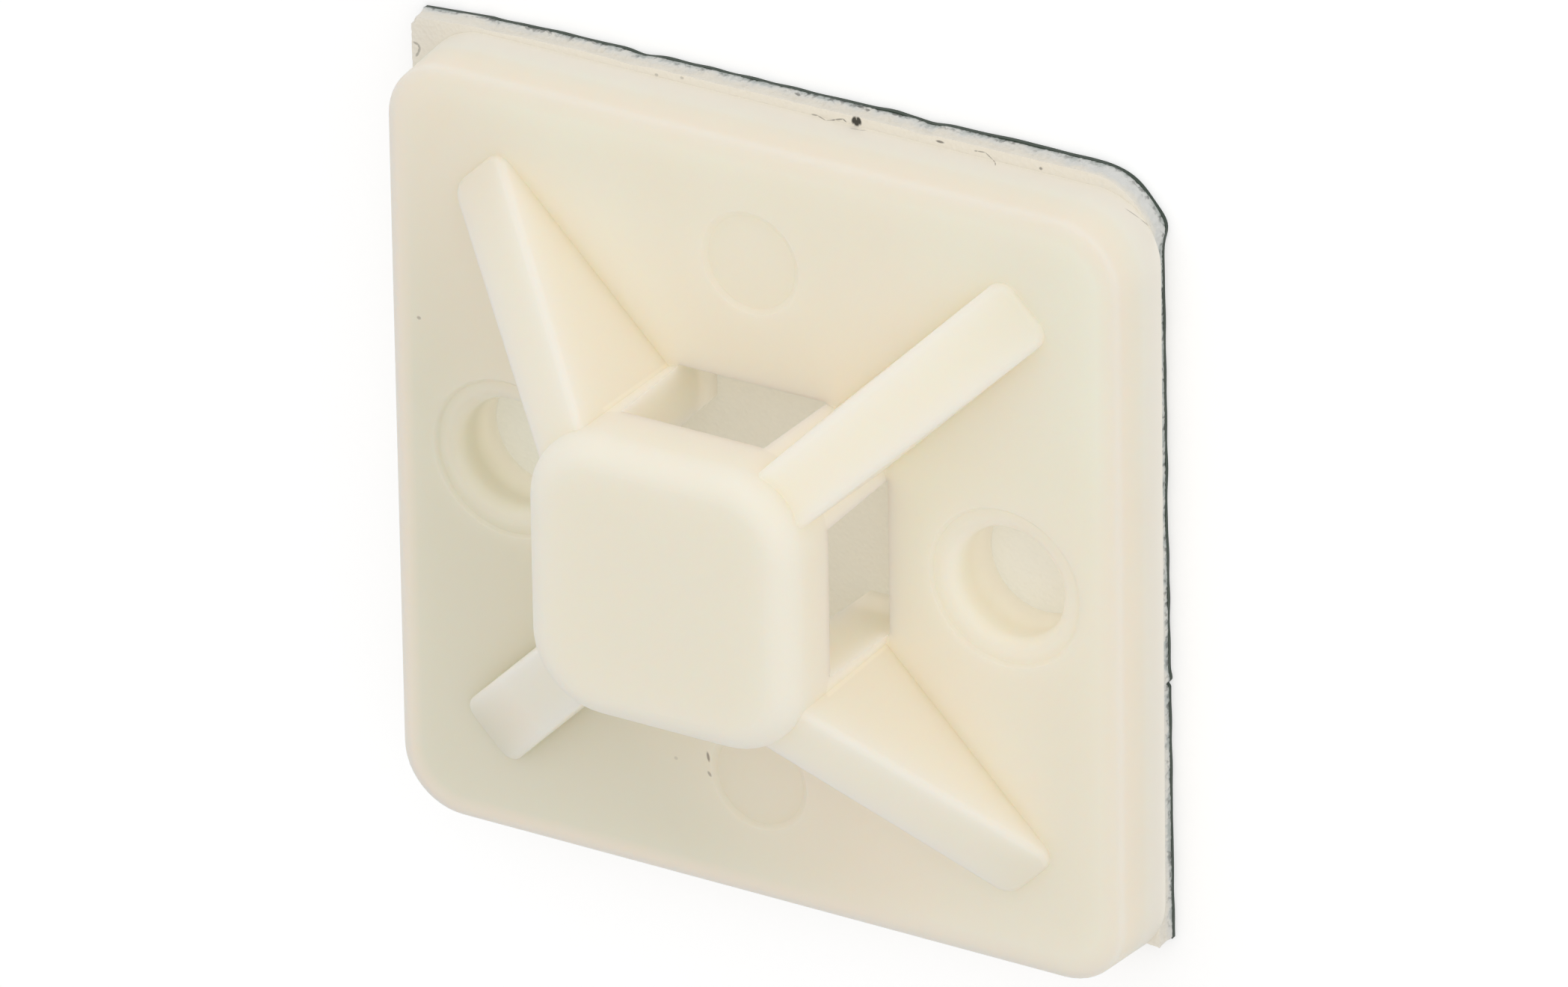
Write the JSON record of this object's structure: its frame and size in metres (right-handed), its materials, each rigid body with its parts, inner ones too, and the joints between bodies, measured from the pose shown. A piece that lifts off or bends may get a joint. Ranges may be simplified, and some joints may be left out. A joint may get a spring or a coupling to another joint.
{
  "type": "cable tie mount",
  "caption": "Square self-adhesive cable tie mount with a four-way bridge on diagonal ribs, screw holes, foam tape and a release liner.",
  "frame": {"origin": "centre of the moulded body's square outline, on the outer face of the liner", "axes": "+Z away from the wall through the bridge, +X through the right-hand screw hole, +Y towards the top blind mark"},
  "size_m": [0.0285, 0.0285, 0.0098],
  "materials": {
    "natural_nylon": "natural translucent nylon, satin as moulded",
    "white_foam": "white closed-cell foam, cut edges",
    "liner_film": "dark green coated film, soft gloss"
  },
  "bodies": {
    "root": {"mount_body": "natural_nylon", "foam_tape": "white_foam", "release_liner": "liner_film"}
  },
  "joints": []
}
